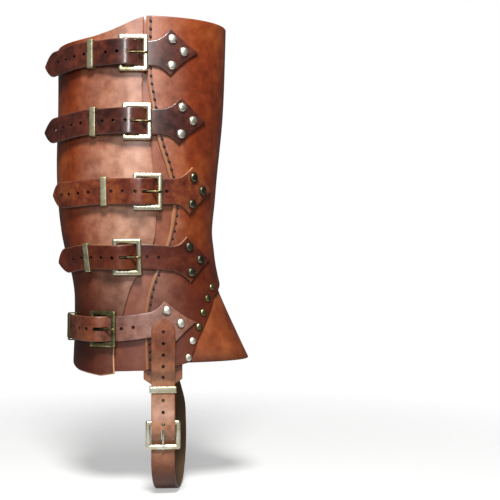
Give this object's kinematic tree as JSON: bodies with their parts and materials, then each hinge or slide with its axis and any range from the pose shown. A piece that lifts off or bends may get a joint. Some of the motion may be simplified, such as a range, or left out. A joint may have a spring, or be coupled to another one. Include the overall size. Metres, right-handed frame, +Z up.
{
  "type": "leather greave",
  "caption": "Brown leather lower-leg greave for the right leg with buckled straps, riveted spade ends, instep flap and buckled stirrup strap.",
  "frame": {"origin": "on the leg's axis at the height of the lower rim", "axes": "+Z up the leg, +X towards the shin and toes, -Y towards the outer side of the right leg"},
  "size_m": [0.1983, 0.1409, 0.4563],
  "materials": {
    "panel_leather": "waxed brown leather, soft gloss, darker towards its edges",
    "flap_leather": "waxed orange-brown leather",
    "strap_leather": "glossy chocolate-brown strap leather",
    "buckle_metal": "pale antiqued brass, polished on its raised edges",
    "rivet_metal": "antiqued nickel-brass domes"
  },
  "bodies": {
    "root": {"leg_panel": "panel_leather", "gusset_panel": "panel_leather", "instep_flap": "flap_leather", "stirrup_tab": "strap_leather", "stirrup_strap": "strap_leather", "strap_1_billet": "strap_leather", "strap_1_chape": "strap_leather", "strap_1_rivet_1": "rivet_metal", "strap_1_rivet_2": "rivet_metal", "strap_1_rivet_3": "rivet_metal", "strap_2_billet": "strap_leather", "strap_2_chape": "strap_leather", "strap_2_rivet_1": "rivet_metal", "strap_2_rivet_2": "rivet_metal", "strap_2_rivet_3": "rivet_metal", "strap_3_billet": "strap_leather", "strap_3_chape": "strap_leather", "strap_3_rivet_1": "rivet_metal", "strap_3_rivet_2": "rivet_metal", "strap_3_rivet_3": "rivet_metal", "strap_4_billet": "strap_leather", "strap_4_chape": "strap_leather", "strap_4_rivet_1": "rivet_metal", "strap_4_rivet_2": "rivet_metal", "strap_4_rivet_3": "rivet_metal", "strap_5_billet": "strap_leather", "strap_5_chape": "strap_leather", "strap_5_rivet_1": "rivet_metal", "strap_5_rivet_2": "rivet_metal", "strap_5_rivet_3": "rivet_metal", "strap_1_buckle": "buckle_metal", "strap_1_prong": "buckle_metal", "strap_1_keeper": "buckle_metal", "strap_2_buckle": "buckle_metal", "strap_2_prong": "buckle_metal", "strap_2_keeper": "buckle_metal", "strap_3_buckle": "buckle_metal", "strap_3_prong": "buckle_metal", "strap_3_keeper": "buckle_metal", "strap_4_buckle": "buckle_metal", "strap_4_prong": "buckle_metal", "strap_4_keeper": "buckle_metal", "strap_5_buckle": "buckle_metal", "strap_5_prong": "buckle_metal", "strap_5_keeper": "buckle_metal", "stirrup_buckle": "buckle_metal", "stirrup_prong": "buckle_metal", "stirrup_keeper": "buckle_metal", "outer_lap_rivet_1": "rivet_metal", "outer_lap_rivet_2": "rivet_metal", "outer_lap_rivet_3": "rivet_metal", "outer_lap_rivet_4": "rivet_metal", "outer_lap_rivet_5": "rivet_metal", "outer_lap_rivet_6": "rivet_metal", "inner_lap_rivet_1": "rivet_metal", "inner_lap_rivet_2": "rivet_metal", "inner_lap_rivet_3": "rivet_metal", "inner_lap_rivet_4": "rivet_metal", "inner_lap_rivet_5": "rivet_metal", "inner_lap_rivet_6": "rivet_metal"}
  },
  "joints": []
}
